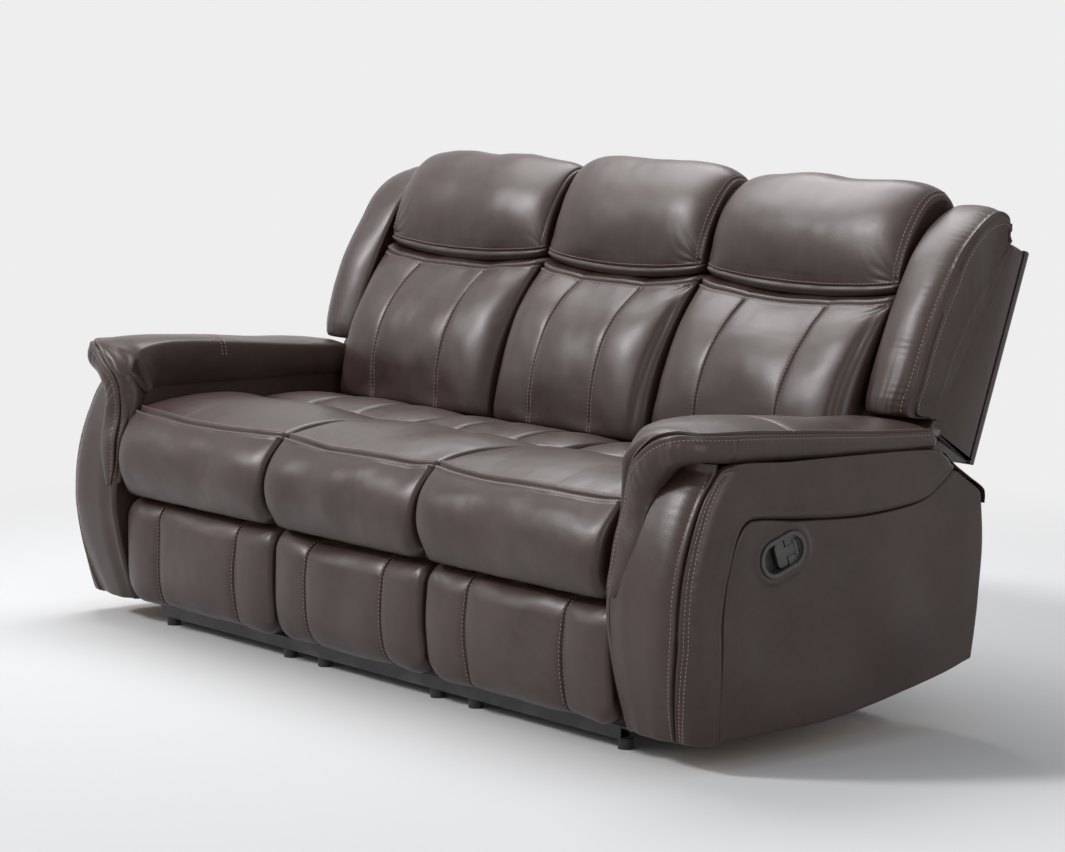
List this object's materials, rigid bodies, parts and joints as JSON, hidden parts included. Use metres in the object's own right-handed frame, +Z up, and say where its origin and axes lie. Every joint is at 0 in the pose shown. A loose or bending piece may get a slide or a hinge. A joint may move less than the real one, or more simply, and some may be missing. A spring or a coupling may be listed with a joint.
{
  "type": "reclining sofa",
  "caption": "Wide upholstered recliner sofa with padded arms, tufted seats and backs, two reclining end seats with lift-up footrests and a fixed middle seat.",
  "frame": {"origin": "on the floor at the middle of the overall width and depth", "axes": "+X to the right end seen from the front, the front looks along -Y, +Z up"},
  "size_m": [2.0636, 0.956, 1.0275],
  "materials": {
    "brown_leather": "satin",
    "timber": "matte",
    "plywood": "matte",
    "frame_steel": "satin",
    "linkage_steel": "satin",
    "bright_steel": "satin",
    "spring_steel": "satin",
    "black_plastic": "matte",
    "latch_plastic": "satin"
  },
  "bodies": {
    "root": {"base_frame": "frame_steel", "glide_feet": "black_plastic", "latch_pins": "bright_steel", "middle_seat_frame": "timber", "middle_seat_springs": "spring_steel", "middle_seat_cushion": "brown_leather", "middle_front_board": "plywood", "middle_front_pad": "brown_leather", "middle_back_frame": "timber", "middle_back_shell": "brown_leather", "middle_lumbar_cushion": "brown_leather", "middle_headrest": "brown_leather", "right_arm_frame": "timber", "right_arm_front_panel": "brown_leather", "right_arm_outer_cover": "brown_leather", "right_arm_side_panel": "brown_leather", "right_arm_pad": "brown_leather", "right_latch_bezel": "latch_plastic", "left_arm_frame": "timber", "left_arm_front_panel": "brown_leather", "left_arm_outer_cover": "brown_leather", "left_arm_side_panel": "brown_leather", "left_arm_pad": "brown_leather", "left_latch_bezel": "latch_plastic"},
    "right_rear_swing": {"right_rear_swing_links": "linkage_steel"},
    "right_seat": {"right_seat_frame": "timber", "right_seat_springs": "spring_steel", "right_seat_cushion": "brown_leather", "right_mechanism_plates": "linkage_steel", "right_pivot_rivets": "bright_steel"},
    "right_front_swing": {"right_front_swing_links": "linkage_steel"},
    "right_back": {"right_back_frame": "timber", "right_back_brackets": "linkage_steel", "right_back_shell": "brown_leather", "right_lumbar_cushion": "brown_leather", "right_headrest": "brown_leather", "right_wing": "brown_leather"},
    "right_lower_links": {"right_lower_footrest_links": "linkage_steel"},
    "right_upper_links": {"right_upper_footrest_links": "linkage_steel"},
    "right_footrest": {"right_footrest_board": "plywood", "right_footrest_pad": "brown_leather"},
    "right_latch": {"right_latch_lever": "latch_plastic"},
    "left_rear_swing": {"left_rear_swing_links": "linkage_steel"},
    "left_seat": {"left_seat_frame": "timber", "left_seat_springs": "spring_steel", "left_seat_cushion": "brown_leather", "left_mechanism_plates": "linkage_steel", "left_pivot_rivets": "bright_steel"},
    "left_front_swing": {"left_front_swing_links": "linkage_steel"},
    "left_back": {"left_back_frame": "timber", "left_back_brackets": "linkage_steel", "left_back_shell": "brown_leather", "left_lumbar_cushion": "brown_leather", "left_headrest": "brown_leather", "left_wing": "brown_leather"},
    "left_lower_links": {"left_lower_footrest_links": "linkage_steel"},
    "left_upper_links": {"left_upper_footrest_links": "linkage_steel"},
    "left_footrest": {"left_footrest_board": "plywood", "left_footrest_pad": "brown_leather"},
    "left_latch": {"left_latch_lever": "latch_plastic"}
  },
  "joints": [
    {"name": "right_rear_swing", "type": "hinge", "parent": "root", "child": "right_rear_swing", "pos_m": [0.5375, 0.092, 0.085], "axis": [1, 0, 0], "range_deg": [0, 43.2]},
    {"name": "right_seat_level", "type": "hinge", "parent": "right_rear_swing", "child": "right_seat", "pos_m": [0.5375, 0.12697, 0.17333], "axis": [1, 0, 0], "range_deg": [-43.2, 0]},
    {"name": "right_front_swing", "type": "hinge", "parent": "root", "child": "right_front_swing", "pos_m": [0.5375, -0.178, 0.085], "axis": [1, 0, 0], "range_deg": [0, 43.2]},
    {"name": "right_recline", "type": "hinge", "parent": "right_seat", "child": "right_back", "pos_m": [0.5375, 0.182, 0.27], "axis": [-1, 0, 0], "range_deg": [0, 30]},
    {"name": "right_footrest_lift", "type": "hinge", "parent": "right_seat", "child": "right_lower_links", "pos_m": [0.5375, -0.303, 0.267], "axis": [-1, 0, 0], "range_deg": [0, 96]},
    {"name": "right_footrest_knee", "type": "hinge", "parent": "right_lower_links", "child": "right_upper_links", "pos_m": [0.5375, -0.25228, 0.09013], "axis": [-1, 0, 0], "range_deg": [-140, 0]},
    {"name": "right_footrest_turn", "type": "hinge", "parent": "right_upper_links", "child": "right_footrest", "pos_m": [0.5375, -0.321, 0.236], "axis": [-1, 0, 0], "range_deg": [0, 134]},
    {"name": "right_latch_pull", "type": "hinge", "parent": "root", "child": "right_latch", "pos_m": [1.0165, -0.18283, 0.39016], "axis": [0, -0.319, 0.9478], "range_deg": [0, 28], "stiffness_Nm_per_rad": 0.15, "springref_deg": -8.59},
    {"name": "left_rear_swing", "type": "hinge", "parent": "root", "child": "left_rear_swing", "pos_m": [-0.5375, 0.092, 0.085], "axis": [1, 0, 0], "range_deg": [0, 43.2]},
    {"name": "left_seat_level", "type": "hinge", "parent": "left_rear_swing", "child": "left_seat", "pos_m": [-0.5375, 0.12697, 0.17333], "axis": [1, 0, 0], "range_deg": [-43.2, 0]},
    {"name": "left_front_swing", "type": "hinge", "parent": "root", "child": "left_front_swing", "pos_m": [-0.5375, -0.178, 0.085], "axis": [1, 0, 0], "range_deg": [0, 43.2]},
    {"name": "left_recline", "type": "hinge", "parent": "left_seat", "child": "left_back", "pos_m": [-0.5375, 0.182, 0.27], "axis": [-1, 0, 0], "range_deg": [0, 30]},
    {"name": "left_footrest_lift", "type": "hinge", "parent": "left_seat", "child": "left_lower_links", "pos_m": [-0.5375, -0.303, 0.267], "axis": [-1, 0, 0], "range_deg": [0, 96]},
    {"name": "left_footrest_knee", "type": "hinge", "parent": "left_lower_links", "child": "left_upper_links", "pos_m": [-0.5375, -0.25228, 0.09013], "axis": [-1, 0, 0], "range_deg": [-140, 0]},
    {"name": "left_footrest_turn", "type": "hinge", "parent": "left_upper_links", "child": "left_footrest", "pos_m": [-0.5375, -0.321, 0.236], "axis": [-1, 0, 0], "range_deg": [0, 134]},
    {"name": "left_latch_pull", "type": "hinge", "parent": "root", "child": "left_latch", "pos_m": [-1.0165, -0.18283, 0.39016], "axis": [0, 0.319, -0.9478], "range_deg": [0, 28], "stiffness_Nm_per_rad": 0.15, "springref_deg": -8.59}
  ],
  "couplings": [
    {"joint": "right_rear_swing", "follows": "right_recline", "ratio": 1.44},
    {"joint": "right_seat_level", "follows": "right_recline", "ratio": -1.44},
    {"joint": "right_front_swing", "follows": "right_recline", "ratio": 1.44},
    {"joint": "right_footrest_knee", "follows": "right_footrest_lift", "ratio": -1.4583},
    {"joint": "right_footrest_turn", "follows": "right_footrest_lift", "ratio": 1.3958},
    {"joint": "left_rear_swing", "follows": "left_recline", "ratio": 1.44},
    {"joint": "left_seat_level", "follows": "left_recline", "ratio": -1.44},
    {"joint": "left_front_swing", "follows": "left_recline", "ratio": 1.44},
    {"joint": "left_footrest_knee", "follows": "left_footrest_lift", "ratio": -1.4583},
    {"joint": "left_footrest_turn", "follows": "left_footrest_lift", "ratio": 1.3958}
  ]
}
